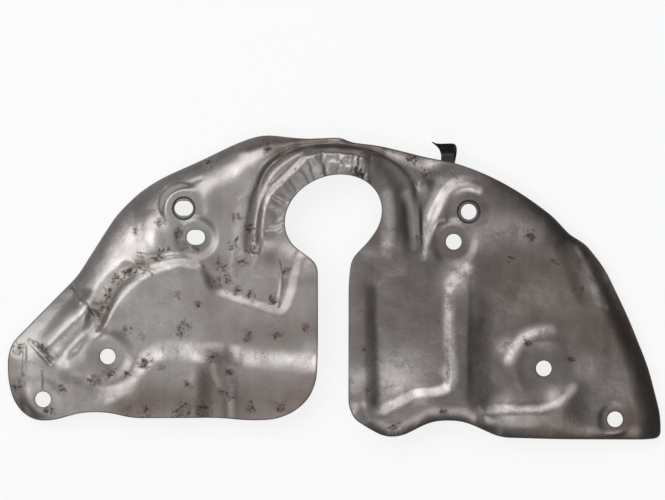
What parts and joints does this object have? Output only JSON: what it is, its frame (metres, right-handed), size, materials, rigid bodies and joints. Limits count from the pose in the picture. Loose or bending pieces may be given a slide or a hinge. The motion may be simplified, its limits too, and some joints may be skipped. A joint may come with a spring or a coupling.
{
  "type": "exhaust heat shield",
  "caption": "Pressed sheet-metal exhaust heat shield with an oval pipe opening, a slot below it, recessed bolt pads, a folded hem and a small spring clip at the back.",
  "frame": {"origin": "middle of the shield's plan at the level of its lowest rim", "axes": "+X along the shield towards the lobe with the square panel, +Y towards the closed top of the arch, +Z out of the outer (convex) face"},
  "size_m": [0.3269, 0.1521, 0.0185],
  "materials": {
    "sheet_metal": "semi-gloss bare coated steel, heat stained, with rust and soot specks",
    "black_steel": "satin black"
  },
  "bodies": {
    "root": {"pressed_sheet": "sheet_metal", "rear_clip": "black_steel"}
  },
  "joints": []
}
